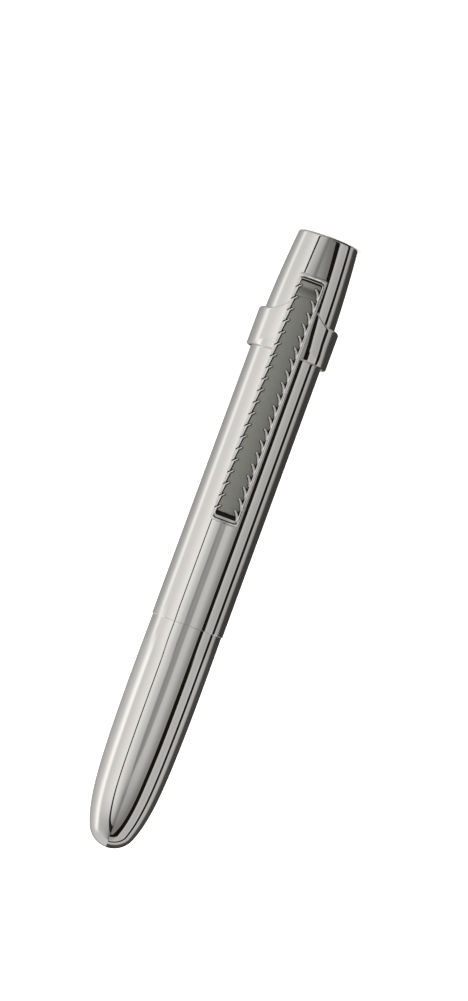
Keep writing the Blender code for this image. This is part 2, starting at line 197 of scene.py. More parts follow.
NEARLY_STRAIGHT = math.radians(168.0)


def round_off(points, radius, steps=4, closed=True):
    """Replace every corner of a profile by a small arc, as a lathe tool leaves it."""
    count = len(points)
    made = []
    for index, point in enumerate(points):
        here = Vector(point)
        before = Vector(points[index - 1]) - here
        after = Vector(points[(index + 1) % count]) - here
        kept = not closed and index in (0, count - 1)
        if kept or min(before.length, after.length) < 1e-6 or before.angle(after) > NEARLY_STRAIGHT:
            made.append(tuple(here))
            continue
        cut = min(radius, before.length * 0.45, after.length * 0.45)
        start = here + before.normalized() * cut
        end = here + after.normalized() * cut
        for step in range(steps + 1):
            share = step / steps
            bend = start.lerp(here, share).lerp(here.lerp(end, share), share)
            made.append(tuple(bend))
    return made


def turn(profile, sides=128, closed=False, relief=None):
    """Spin a profile of (radius, height) points round the pen's axis.

    It runs up the outer side and down the inner side. relief(angle, radius, height) may return
    another radius, which cuts a thread.
    """
    build = bmesh.new()
    rings = []
    for radius, height in profile:
        if radius < 1e-6:
            rings.append([build.verts.new((0.0, 0.0, height))])
            continue
        ring = []
        for step in range(sides):
            angle = 2.0 * math.pi * step / sides
            out = relief(angle, radius, height) if relief else radius
            ring.append(build.verts.new((out * math.cos(angle), out * math.sin(angle), height)))
        rings.append(ring)
    following = rings[1:] + rings[:1] if closed else rings[1:]
    for below, above in zip(rings, following):
        join_rings(build, below, above)
    return build


def around(loop):
    """Each point of a closed loop with the one after it."""
    return zip(loop, loop[1:] + loop[:1])


def join_loops(build, below, above):
    """Faces between two loops of as many points."""
    for (start, end), (start_above, end_above) in zip(around(below), around(above)):
        build.faces.new((start, end, end_above, start_above))


def join_rings(build, below, above):
    """Faces between two rings, either of which may be a single point."""
    if len(below) > 1 and len(above) > 1:
        join_loops(build, below, above)
    elif len(below) > 1:
        for start, end in around(below):
            build.faces.new((start, end, above[0]))
    elif len(above) > 1:
        for start, end in around(above):
            build.faces.new((below[0], end, start))


def spread(start, end, count):
    return [start + (end - start) * step / count for step in range(count + 1)]


def extent(node):
    """Lowest and highest point of a CAD node, and its largest radius."""
    return low(node).z, high(node).z, reach(node)


def dent(radius, depth, start, bottom, top, end):
    """A groove in a profile, which slopes down from start to bottom and back from top to end."""
    return [(radius, start), (radius - depth, bottom), (radius - depth, top), (radius, end)]


def turned_piece(name, profile, material, sides=96):
    return finish_mesh(name, turn(profile, sides, closed=True), material)


def skin_rings(build, rings):
    """A closed skin over a row of rings, with a face at either end."""
    for before, after in zip(rings, rings[1:]):
        join_loops(build, before, after)
    build.faces.new(list(reversed(rings[0])))
    build.faces.new(rings[-1])
    bmesh.ops.recalc_face_normals(build, faces=build.faces)


# ---- nodes

class Value:
    """What a node works out. Arithmetic with it adds further nodes to its tree."""

    def __init__(self, socket):
        self.socket = socket

    def __add__(self, other):
        return maths("ADD", self, other)

    def __sub__(self, other):
        return maths("SUBTRACT", self, other)

    def __rsub__(self, other):
        return maths("SUBTRACT", other, self)

    def __mul__(self, other):
        return maths("MULTIPLY", self, other)

    def __truediv__(self, other):
        return maths("DIVIDE", self, other)


def feed(socket, value):
    """Link a node's input to a Value, or set it to a number, a vector or a colour."""
    if isinstance(value, Value):
        socket.id_data.links.new(value.socket, socket)
    else:
        socket.default_value = value


def add_node(tree, kind, feeds, **settings):
    """A new node, with its inputs fed by name or number."""
    made = tree.nodes.new(kind)
    for key, value in settings.items():
        setattr(made, key, value)
    for key, value in feeds.items():
        feed(made.inputs[key], value)
    return made


def maths(operation, *values):
    tree = next(value.socket.id_data for value in values if isinstance(value, Value))
    made = add_node(tree, "ShaderNodeMath", dict(enumerate(values)), operation=operation)
    return Value(made.outputs[0])


def remap(value, low_in, high_in, low_out=0.0, high_out=1.0, kind="LINEAR"):
    """Carry a value over from one range to another and hold it within that."""
    feeds = {"Value": value, "From Min": low_in, "From Max": high_in}
    feeds.update({"To Min": low_out, "To Max": high_out})
    made = add_node(value.socket.id_data, "ShaderNodeMapRange", feeds, interpolation_type=kind)
    return Value(made.outputs["Result"])


MIX_SOCKETS = {"FLOAT": (2, 3, 0), "VECTOR": (4, 5, 1), "RGBA": (6, 7, 2)}  # two inputs, one output


def mix(share, first, second, kind="FLOAT"):
    """The first value at a share of 0, the second at 1, and between them otherwise."""
    start, end, result = MIX_SOCKETS[kind]
    feeds = {"Factor": share, start: first, end: second}
    made = add_node(share.socket.id_data, "ShaderNodeMix", feeds, data_type=kind)
    return Value(made.outputs[result])


def vector(operation, first, second, output="Vector"):
    feeds = {0: first, 1: second}
    made = add_node(first.socket.id_data, "ShaderNodeVectorMath", feeds, operation=operation)
    return Value(made.outputs[output])


def xyz(value):
    """A vector's three numbers."""
    made = add_node(value.socket.id_data, "ShaderNodeSeparateXYZ", {0: value})
    return [Value(socket) for socket in made.outputs]


# ---- materials

CHROME_DARK = (0.825, 0.805, 0.772)
CHROME_LIGHT = (0.850, 0.832, 0.800)
# colour of the painted shade in the clip blade's recesses
PAINTED_RECESS_SHADE = (0.030, 0.028, 0.025)
INLAY_DARK = (0.135, 0.137, 0.118)
INLAY_LIGHT = (0.420, 0.428, 0.375)
EVEN_GRAIN = (1.0, 1.0, 1.0)
TURNED_GRAIN = (1.0, 1.0, 9.0)
HAIRLINES = (14.0, 14.0, 0.55)


class Skin:
    """A short way to make a material whose looks vary over the surface."""

    def __init__(self, name, roughness, metallic):
        self.material = bpy.data.materials.new(name)
        self.material.use_nodes = True
        self.tree = self.material.node_tree
        self.inputs = self.tree.nodes["Principled BSDF"].inputs
        self.inputs["Metallic"].default_value = metallic
        self.inputs["Roughness"].default_value = roughness
        place_at = Value(self.tree.nodes.new("ShaderNodeTexCoord").outputs["Object"])
        self.place = vector("MULTIPLY", place_at, (1.0 / MM, 1.0 / MM, 1.0 / MM))

    def noise(self, scale, detail, factors=EVEN_GRAIN, distortion=0.0):
        """Noise over the surface, with its place scaled differently along each axis."""
        feeds = {"Vector": vector("MULTIPLY", self.place, factors), "Scale": scale}
        feeds.update({"Detail": detail, "Distortion": distortion})
        return Value(add_node(self.tree, "ShaderNodeTexNoise", feeds).outputs["Fac"])

    def tint(self, share, first, second):
        """Colour between two shades by a value from 0 to 1."""
        feed(self.inputs["Base Color"], mix(share, (*first, 1.0), (*second, 1.0), "RGBA"))

    def rough(self, value):
        feed(self.inputs["Roughness"], value)

    def bump(self, value, strength, depth):
        """Relief from a value, with its depth in millimetres."""
        feeds = {"Height": value, "Strength": strength, "Distance": depth * MM}
        feed(self.inputs["Normal"], Value(add_node(self.tree, "ShaderNodeBump", feeds).outputs["Normal"]))


def chrome(name, roughness=0.035, wear=1.0):
    """Bright chrome plate: a warm white mirror with a faint haze and hairlines from the pocket."""
    skin = Skin(name, roughness, 1.0)
    haze = skin.noise(0.22, 4.0)
    hairs = remap(skin.noise(1.0, 2.0, HAIRLINES, 0.4), 0.66, 0.74)
    cloud = remap(haze, 0.35, 0.75, roughness * 0.7, roughness * 1.6)
    skin.rough(cloud + hairs * (0.05 * wear))
    skin.tint(haze, CHROME_DARK, CHROME_LIGHT)
    skin.bump(hairs * -1.0, 0.12 * wear, 0.0006)
    return skin.material


def struck_chrome(name):
    """Bright chrome with painted shade in its struck grooves, notches, ledges and slot: its colour goes
    dark where the front is sunk deeper than about 0.1 mm.
    """
    skin = Skin(name, 0.045, 1.0)
    x, y, z = xyz(skin.place)
    across = maths("ABSOLUTE", x)
    along = maths("ABSOLUTE", z - 0.5 * (BLADE_LOW + BLADE_HIGH))
    depth = y + BLADE_FACE - across * across / (2.0 * CROWN_R)
    half_length = 0.5 * (BLADE_HIGH - BLADE_LOW)
    # painted shade: the mask below darkens the colour by depth under the domed front
    deep = remap(depth, 0.09, 0.13) * remap(depth, 0.66, 0.70, 1.0, 0.0)
    inside = remap(across, BLADE_HALF_LOW - 0.12, BLADE_HALF_LOW - 0.08, 1.0, 0.0)
    between = remap(along, half_length - 0.16, half_length - 0.12, 1.0, 0.0)
    dark = deep * (inside * between)
    polish = remap(skin.noise(0.22, 4.0), 0.35, 0.75, 0.03, 0.07)
    skin.rough(maths("MAXIMUM", polish, dark * 0.5))
    skin.tint(dark, CHROME_LIGHT, PAINTED_RECESS_SHADE)
    return skin.material


def satin_inlay(name):
    """Bead-blasted olive-grey metal strip, with painted light: lighter towards +X, and a painted light
    strip and shade band near its low end.
    """
    skin = Skin(name, 0.42, 0.85)
    grain = skin.noise(16.0, 2.0)
    cloud = skin.noise(0.9, 3.0)
    skin.rough(remap(cloud, 0.3, 0.7, 0.38, 0.50))
    x, _, z = xyz(skin.place)
    speckle = remap(grain + cloud, 0.6, 1.4, 0.0, 0.20)
    # painted light: the strip's colour gets lighter towards +X, as light falls across it
    side = remap(x, -1.7, 1.7, 0.20, 0.60)
    # painted light and shade: a lighter strip at the low end, then a dark band that fades back above it
    darker = remap(z, INLAY_LOW + 0.65, INLAY_LOW + 1.05, 0.16, -0.44)
    lighter = remap(z, INLAY_LOW + 1.30, INLAY_LOW + 2.30, 0.0, 0.44)
    skin.tint((speckle + side) + (darker + lighter), INLAY_DARK, INLAY_LIGHT)
    skin.bump(grain, 0.35, 0.004)
    return skin.material


def metal(name, dark, light, roughness, grain=TURNED_GRAIN, depth=0.0015):
    """Turned or drawn metal, with tool marks round the axis or along it."""
    skin = Skin(name, roughness, 1.0)
    marks = skin.noise(1.6, 3.0, grain)
    cloud = skin.noise(0.35, 3.0)
    skin.tint(remap(marks + cloud, 0.6, 1.4), dark, light)
    skin.rough(remap(marks, 0.3, 0.7, roughness * 0.75, roughness * 1.35))
    skin.bump(marks, 0.3, depth)
    return skin.material


def polymer(name, dark, light, roughness, grain=6.0):
    """Moulded polymer with a fine even grain."""
    skin = Skin(name, roughness, 0.0)
    pores = skin.noise(grain, 4.0)
    cloud = skin.noise(0.4, 2.0)
    skin.tint(remap(pores + cloud, 0.6, 1.4), dark, light)
    skin.rough(remap(cloud, 0.3, 0.7, roughness * 0.85, roughness * 1.15))
    skin.bump(pores, 0.25, 0.006)
    return skin.material


# ---- cap and barrel

def cap_radius(height):
    if height < CAP_TAPER:
        return CAP_R - (CAP_R - CAP_END_R) * (1.0 - height / CAP_TAPER) ** 2
    return CAP_R + (CAP_MOUTH_R - CAP_R) * (height - CAP_TAPER) / (SEAM - CAP_TAPER)


def barrel_radius(height):
    from_apex = LENGTH - height
    if from_apex <= NOSE_BLEND:
        return math.sqrt(max(0.0, 2.0 * NOSE_R * from_apex - from_apex ** 2))
    if from_apex >= BARREL_STRAIGHT:
        fall = (from_apex - BARREL_STRAIGHT) / (LENGTH - SEAM - BARREL_STRAIGHT)
        return BARREL_R - (BARREL_R - BARREL_MOUTH_R) * fall ** 2
    blend_r = math.sqrt(2.0 * NOSE_R * NOSE_BLEND - NOSE_BLEND ** 2)
    rest = (BARREL_STRAIGHT - from_apex) / (BARREL_STRAIGHT - NOSE_BLEND)
    late = BARREL_R - blend_r - OGIVE_SLOW
    return BARREL_R - OGIVE_SLOW * rest ** 2 - late * rest ** OGIVE_POWER


def make_cap_shell():
    edge_r = cap_radius(CAP_END_EDGE) - CAP_END_EDGE
    bush_low = low("cap_bush").z
    profile = [(0.0, 0.0), (edge_r * 0.5, 0.0), (edge_r - 0.06, 0.0)]
    profile += arc((edge_r, CAP_END_EDGE), CAP_END_EDGE, -90.0, -6.0, 14)
    profile += [(cap_radius(height), height) for height in spread(0.5, CAP_TAPER, 52)]
    profile += [(cap_radius(height), height) for height in spread(CAP_TAPER + 1.0, SEAM - 0.3, 24)]
    profile += [(CAP_MOUTH_R, SEAM - 0.045)]
    profile += arc((CAP_MOUTH_R - 0.03, SEAM - 0.03), 0.03, 0.0, 90.0, 6)
    inner = [(COUNTERBORE_R + 0.10, SEAM), (COUNTERBORE_R, SEAM - 0.15)]
    inner += [(COUNTERBORE_R, bush_low - 0.1), (CAP_R - CAP_WALL, bush_low - 0.1)]
    profile += round_off([profile[-1]] + inner, 0.06, closed=False)[1:]
    profile += [(cap_radius(height) - CAP_WALL, height) for height in spread(36.0, 4.5, 20)]
    profile += arc((cap_radius(3.0) - 1.9, CAP_FLOOR + 1.0), 1.0, 0.0, -90.0, 8)
    profile += [(0.0, CAP_FLOOR)]
    return finish_mesh("cap_shell_chrome", turn(profile, 224), chrome("cap_chrome"))


def make_barrel_shell():
    edge = 0.025
    straight_end = LENGTH - BARREL_STRAIGHT
    insert_top = high("thread_insert").z
    profile = [(INSERT_BORE_R + 0.10, MOUTH)]
    profile += arc((BARREL_MOUTH_R - edge, MOUTH + edge), edge, -90.0, 0.0, 6)
    profile += [(BARREL_MOUTH_R, MOUTH + edge + 0.015)]
    heights = spread(MOUTH + 0.4, straight_end, 10) + spread(straight_end, LENGTH - NOSE_BLEND, 64)[1:]
    profile += [(barrel_radius(height), height) for height in heights]
    start = math.degrees(math.acos(barrel_radius(LENGTH - NOSE_BLEND) / NOSE_R))
    profile += arc((0.0, LENGTH - NOSE_R), NOSE_R, start + 1.5, 88.6, 36)
    profile += [(0.0, LENGTH), (0.0, BARREL_BLIND), (1.2, BARREL_BLIND), (BARREL_BORE_R, 94.2)]
    profile += [(BARREL_BORE_R, insert_top + 0.2), (INSERT_BORE_R, insert_top + 0.2)]
    profile += [(INSERT_BORE_R, MOUTH + 0.10)]
    return turned_piece("barrel_shell_chrome", profile, chrome("barrel_chrome"), 224)


def make_cap_bush():
    bottom, top, outer = extent("cap_bush")
    inner = outer - 0.48
    profile = [(inner + 0.12, bottom), (outer, bottom)]
    for groove in (bottom + 3.0, bottom + 7.5, bottom + 12.0):
        profile += dent(outer, 0.14, groove - 0.4, groove - 0.3, groove + 0.3, groove + 0.4)
    profile += [(outer, top), (inner + 0.20, top), (inner, top - 0.5), (inner, bottom + 0.3)]
    material = polymer("bush_polymer", (0.035, 0.035, 0.038), (0.055, 0.055, 0.058), 0.42)
    return turned_piece("cap_bush_moulded", round_off(profile, 0.07), material, 128)


# ---- thread, section and seal

def thread_wave(angle, height):
    """0 in the root and 1 on the crest of the right-hand thread."""
    phase = (height / THREAD_PITCH - angle / (2.0 * math.pi)) % 1.0
    ramp = abs(phase - 0.5) * 2.0
    return min(1.0, max(0.0, (ramp - 0.13) / 0.74))


def thread(root, depth, start, end, run, lag=0.0):
    """A relief for turn() that cuts a thread, with a run-out, into the parts at a root radius."""

    def relief(angle, radius, height):
        if abs(radius - root) > 0.02:
            return radius
        fade = max(0.0, min(1.0, (height - start) / run, (end - height) / run))
        return radius + depth * fade * thread_wave(angle, height + lag)

    return relief


def make_section_sleeve():
    tip, tenon_top, _ = extent("section_sleeve")
    section_r = 4.45
    grip_r = 3.02
    grip_low = 13.2
    grip_top = 31.0
    seal = 0.5 * (low("seal_ring").z + high("seal_ring").z)
    groove = 3.83
    outer = [(1.25, tip), (1.70, tip), (1.95, tip + 0.25), (2.72, 11.0), (grip_r, grip_low)]
    for ring in range(14):
        middle = grip_low + 0.8 + ring * 0.85
        left = (grip_top - middle) / (grip_top - grip_low)
        radius = grip_r + (section_r - grip_r) * (1.0 - left ** 1.6)
        outer += dent(radius, 0.13, middle - 0.22, middle - 0.12, middle + 0.12, middle + 0.22)
    outer += [(4.40, 27.5), (section_r, grip_top)]
    outer += dent(section_r, section_r - groove, seal - 0.6, seal - 0.6, seal + 0.6, seal + 0.6)
    outer += [(section_r, 56.6), (5.10, 57.25), (5.10, SEAM - 0.3), (4.9, SEAM - 0.04)]
    root = THREAD_CREST - THREAD_DEPTH
    outer += [(root - 0.04, SEAM - 0.04)]
    start = SEAM + 0.5
    end = tenon_top - 0.35
    rows = int((end - start) / THREAD_PITCH * 14)
    profile = round_off(outer, 0.05, 3, closed=False)
    profile += [(root, height) for height in spread(SEAM + 0.3, end + 0.05, rows)]
    profile += [(root - 0.25, tenon_top), (2.55, tenon_top), (2.55, 17.0), (1.25, 15.2)]
    relief = thread(root, THREAD_DEPTH, start, end, 0.6)
    build = turn(profile, 120, closed=True, relief=relief)
    return finish_mesh("section_sleeve_turned", build, chrome("section_chrome", 0.10, 1.5), 40.0)


def make_thread_insert():
    bottom, top, outer = extent("thread_insert")
    root = THREAD_CREST + THREAD_PLAY
    profile = [(root + 0.15, bottom), (outer, bottom)]
    for step in range(8):
        height = bottom + 1.0 + step
        profile += dent(outer, 0.10, height, height + 0.15, height + 0.5, height + 0.65)
    profile += [(outer, top), (root + 0.1, top)]
    rows = int((top - bottom - 0.6) / THREAD_PITCH * 14)
    profile += [(root, height) for height in spread(top - 0.3, bottom + 0.3, rows)]
    relief = thread(root, -THREAD_DEPTH, bottom + 0.4, top - 0.4, 0.5, 0.5 * THREAD_PITCH)
    build = turn(profile, 120, closed=True, relief=relief)
    material = metal("insert_brass", (0.66, 0.47, 0.20), (0.78, 0.60, 0.30), 0.26, (1.0, 1.0, 7.0))
    return finish_mesh("thread_insert_turned", build, material, 40.0)


def make_seal_ring():
    bottom, top, outer = extent("seal_ring")
    wire = 0.40
    profile = arc((outer - wire, 0.5 * (bottom + top)), wire, -90.0, 250.0, 17)
    material = polymer("seal_rubber", (0.016, 0.016, 0.017), (0.030, 0.030, 0.031), 0.55, 9.0)
    return turned_piece("seal_ring_moulded", profile, material, 128)


# ---- refill

def make_refill_tube():
    bottom, top, outer = extent("refill_tube")
    bore = outer - 0.50
    profile = [(bore, bottom), (outer, bottom)]
    for crimp in (bottom + 1.6, top - 1.4):
        profile += [(outer, crimp - 0.35)] + arc((outer + 0.55, crimp), 0.64, 213.0, 147.0, 8)
        profile += [(outer, crimp + 0.35)]
    profile += [(outer, top), (bore, top)]
    material = metal("tube_steel", (0.54, 0.53, 0.50), (0.68, 0.67, 0.63), 0.28, (9.0, 9.0, 0.4))
    return turned_piece("refill_tube_drawn", round_off(profile, 0.05, 3), material)


def ball_size():
    """Height of the writing ball's middle, and its radius."""
    bottom, top, _ = extent("refill_ball")
    return 0.5 * (bottom + top), 0.5 * (top - bottom)


def make_refill_socket():
    ball_z, ball_r = ball_size()
    cup = ball_r + 0.04
    lip, top, outer_r = extent("refill_socket")
    outside = [(cup, lip), (cup + 0.10, lip), (0.98, 5.35), (1.15, 6.1), (1.15, 9.3), (1.05, 9.4)]
    outside += [(1.05, 9.7), (1.15, 9.8), (1.15, 15.35), (1.35, 15.6), (2.10, 16.6)]
    outside += [(outer_r, 17.15), (outer_r, 18.0), (outer_r - 0.55, 18.0)]
    for rib in range(3):
        foot = 18.25 + rib * 0.85
        outside += [(outer_r - 0.63, foot), (outer_r - 0.55, foot + 0.2), (outer_r - 0.63, foot + 0.5)]
    outside += [(outer_r - 0.75, top), (0.30, top), (0.30, ball_z + 0.62), (cup, ball_z + 0.30)]
    material = metal("socket_brass", (0.66, 0.50, 0.25), (0.80, 0.66, 0.38), 0.20, (1.0, 1.0, 10.0))
    return turned_piece("refill_socket_turned", round_off(outside, 0.05, 3), material)


def make_refill_ball():
    ball_z, ball_r = ball_size()
    profile = [(0.0, ball_z - ball_r)] + arc((0.0, ball_z), ball_r, -86.0, 86.0, 30)
    profile += [(0.0, ball_z + ball_r)]
    fine = (8.0, 8.0, 8.0)
    material = metal("ball_carbide", (0.38, 0.38, 0.39), (0.52, 0.52, 0.53), 0.16, fine, 0.0006)
    return finish_mesh("refill_ball_ground", turn(profile, 64), material)


def make_refill_float():
    bottom, top, outer = extent("refill_float")
    edge = 0.5
    profile = [(0.0, bottom + 0.25), (0.7, bottom + 0.22), (0.95, bottom)]
    profile += arc((outer - edge, bottom + edge), edge, -90.0, 0.0, 8)
    for seal in (bottom + 1.2, bottom + 2.4):
        profile += dent(outer, 0.12, seal - 0.1, seal, seal + 0.25, seal + 0.35)
    profile += arc((outer - edge, top - edge), edge, 0.0, 90.0, 8)
    profile += [(0.95, top), (0.7, top - 0.22), (0.0, top - 0.25)]
    material = polymer("float_polymer", (0.78, 0.73, 0.58), (0.88, 0.84, 0.70), 0.38)
    return finish_mesh("refill_float_moulded", turn(profile, 64), material)


def make_refill_plug():
    bottom, top, tube_r = extent("refill_plug")
    seat = high("refill_tube").z + 0.05
    stem = tube_r - 0.55
    profile = [(0.0, bottom), (stem - 0.2, bottom), (stem, bottom + 0.2)]
    for rib in (bottom + 0.8, bottom + 1.7):
        profile += dent(stem, 0.12, rib - 0.1, rib, rib + 0.25, rib + 0.35)
    profile += [(stem, seat), (tube_r, seat), (tube_r, 89.55), (2.1, 89.8), (1.4, 89.8)]
    profile += [(1.4, 91.7), (1.1, top), (0.45, top), (0.35, top - 0.3), (0.0, top - 0.3)]
    material = polymer("plug_polymer", (0.022, 0.022, 0.025), (0.040, 0.040, 0.044), 0.40)
    build = turn(round_off(profile, 0.05, 3, closed=False), 96)
    return finish_mesh("refill_plug_moulded", build, material)


def make_refill_spring():
    """A compression spring whose end turns lie flat."""
    wire = 0.24
    radius = 1.85
    bottom, top, _ = extent("refill_spring")
    first = bottom + 0.02 + wire  # heights of the wire's middle at either end
    last = top - 0.02 - wire
    closed_turn = 0.52
    turns = 5.2
    heights = (first, first + closed_turn, last - closed_turn, last)
    build = bmesh.new()
    rings = []
    for done in spread(0.0, turns, 300):
        height = np.interp(done, (0.0, 1.0, turns - 1.0, turns), heights)
        angle = 2.0 * math.pi * done
        ring = []
        for out, up in arc((radius, height), wire, 0.0, 360.0, 14)[:-1]:
            ring.append(build.verts.new((out * math.cos(angle), out * math.sin(angle), up)))
        rings.append(ring)
    skin_rings(build, rings)
    material = metal("spring_steel", (0.50, 0.50, 0.49), (0.66, 0.66, 0.65), 0.22, (3.0, 3.0, 3.0))
    return finish_mesh("refill_spring_coil", build, material)


# ---- clip band

def band_floor(across, inset):
    """Lower edge of the band, set in by a distance, at a distance across from the middle line."""
    offset = abs(across)
    if offset < PAD_HALF:
        return BAND_LOW + PAD_RISE + inset
    share = min(max((BAND_FLARE_END - offset) / (BAND_FLARE_END - BAND_FLARE_START), 0.0), 1.0)
    return BAND_LOW + inset - BAND_FLARE * share ** 2


def band_stations():
    """Angles from -Y of the band's sections, closer together in front, with a step at the pad."""
    step = 0.001
    near = spread(0.0, PAD_HALF - 0.02, 8) + [PAD_HALF - step, PAD_HALF + step]
    near += spread(PAD_HALF + 0.07, 5.6, 50)
    angles = [math.asin(across / BAND_OUT_R) for across in near]
    last = math.pi - math.asin(0.5 * BAND_GAP / BAND_OUT_R)
    angles += spread(angles[-1], last, 60)[1:]
    return [-angle for angle in reversed(angles[1:])] + angles


def band_section(angle, shrink):
    """Outline of the band's wall at an angle from -Y. shrink pulls it in at the open ends."""
    in_front = abs(angle) < 0.5 * math.pi
    across = BAND_OUT_R * math.sin(angle) if in_front else BAND_OUT_R
    outer = PAD_FRONT / math.cos(angle) if in_front and abs(across) < PAD_HALF else BAND_OUT_R
    inner = BAND_IN_R + shrink
    outer -= shrink
    top = BAND_TOP - shrink
    points = [(inner, top - 0.10), (inner, band_floor(across, 0.10 + shrink))]
    points += [(inner + 0.10, band_floor(across, shrink))]
    for radius, inset in arc((outer - BAND_EDGE_LOW, BAND_EDGE_LOW), BAND_EDGE_LOW, -90.0, 0.0, 8):
        points.append((radius, band_floor(across, shrink + inset)))
    points += arc((outer - BAND_EDGE_TOP, top - BAND_EDGE_TOP), BAND_EDGE_TOP, 0.0, 90.0, 5)
    return points + [(inner + 0.10, top)]


def make_clip_band():
    stations = band_stations()
    ends = arc((0.0, BAND_END_R), BAND_END_R, -90.0, 0.0, 4)[1:]
    columns = [(stations[0] - along / BAND_OUT_R, shrink) for along, shrink in reversed(ends)]
    columns += [(angle, 0.0) for angle in stations]
    columns += [(stations[-1] + along / BAND_OUT_R, shrink) for along, shrink in ends]
    build = bmesh.new()
    rings = []
    for angle, shrink in columns:
        ring = []
        for radius, height in band_section(angle, shrink):
            ring.append(build.verts.new((radius * math.sin(angle), -radius * math.cos(angle), height)))
        rings.append(ring)
    skin_rings(build, rings)
    return finish_mesh("clip_band_formed", build, chrome("band_chrome", 0.04))


# ---- clip blade

def blade_half(height):
    share = (height - BLADE_LOW) / (BLADE_HIGH - BLADE_LOW)
    return BLADE_HALF_LOW + (BLADE_HALF_HIGH - BLADE_HALF_LOW) * share


def crown(across):
    """The blade's slightly domed front, before anything is struck into it."""
    return BLADE_FACE - across ** 2 / (2.0 * CROWN_R)


def rounding(distance, radius):
    """How far a rounded edge lies below the surface at a distance from that edge."""
    short = radius - np.clip(distance, 0.0, radius)
    return radius - np.sqrt(radius ** 2 - short ** 2)


def inner_distance(side, end, radius):
    """Distance in from a rectangle with rounded corners, from the distances to its sides."""
    corner = radius - np.hypot(radius - np.minimum(side, radius), radius - np.minimum(end, radius))
    return np.where((side < radius) & (end < radius), corner, np.minimum(side, end))


def outline_half(height):
    """Half width of the blade at a height, narrowed by its rounded corners."""
    end = np.minimum(height - BLADE_LOW, BLADE_HIGH - height)
    short = np.clip(BLADE_CORNER - end, 0.0, BLADE_CORNER)
    return blade_half(height) - BLADE_CORNER + np.sqrt(BLADE_CORNER ** 2 - short ** 2)


def lane(distance, groove, wall):
    """A distance from one end, stretched so that groove and wall lie as along the sides."""
    far = 50.0
    reached = (0.0, GROOVE_SIDE, WALL_SIDE, WALL_SIDE + far)
    return np.interp(distance, (0.0, groove, wall, wall + far), reached)


def bezier(start, bend, end, steps):
    """Points along a curve as (distance in from the blade's side, height above the barb's tip)."""
    points = []
    for share in spread(0.0, 1.0, steps):
        first = Vector(start).lerp(Vector(bend), share)
        points.append(first.lerp(Vector(bend).lerp(Vector(end), share), share))
    return points


HORN = bezier((1.27, 0.03), (0.68, 0.58), (0.48, 1.42), 10)  # barbs on the -X side
SPIKE = bezier((0.88, 0.06), (0.50, 0.44), (0.13, 0.81), 4)  # barbs on the +X side
HORN_HALF = (0.185, 0.24)  # half width of a barb at its tip and at its root
SPIKE_HALF = (0.14, 0.14)


def distance_to(inward, above, line, half, offset=0.0):
    """Distance from points to a barb's centre line, counted in the half width there."""
    nearest = np.full(inward.shape, 9.0)
    for index, (start, end) in enumerate(zip(line, line[1:])):
        width = half[0] + (half[1] - half[0]) * index / (len(line) - 2)
        run = (end - start).normalized()
        origin = start + Vector((-run.y, run.x)) * offset
        along = (inward - origin.x) * run.x + (above - origin.y) * run.y
        along = np.clip(along, 0.0, (end - start).length)
        apart = np.hypot(inward - origin.x - along * run.x, above - origin.y - along * run.y)
        nearest = np.minimum(nearest, apart / width)
    return nearest


def spike_wall(height):
    """Foot of the rim's inner wall on the +X side, scalloped between the barbs."""
    phase = ((height - BARB_FIRST - 0.25) / BARB_PITCH) % 1.0
    inside = (height > BARB_FIRST) & (height < BARB_FIRST + BARB_PITCH * (BARB_COUNT - 0.4))
    return np.where(inside, SCALLOP_IN - (SCALLOP_IN - SCALLOP_OUT) * phase, WALL_SIDE)


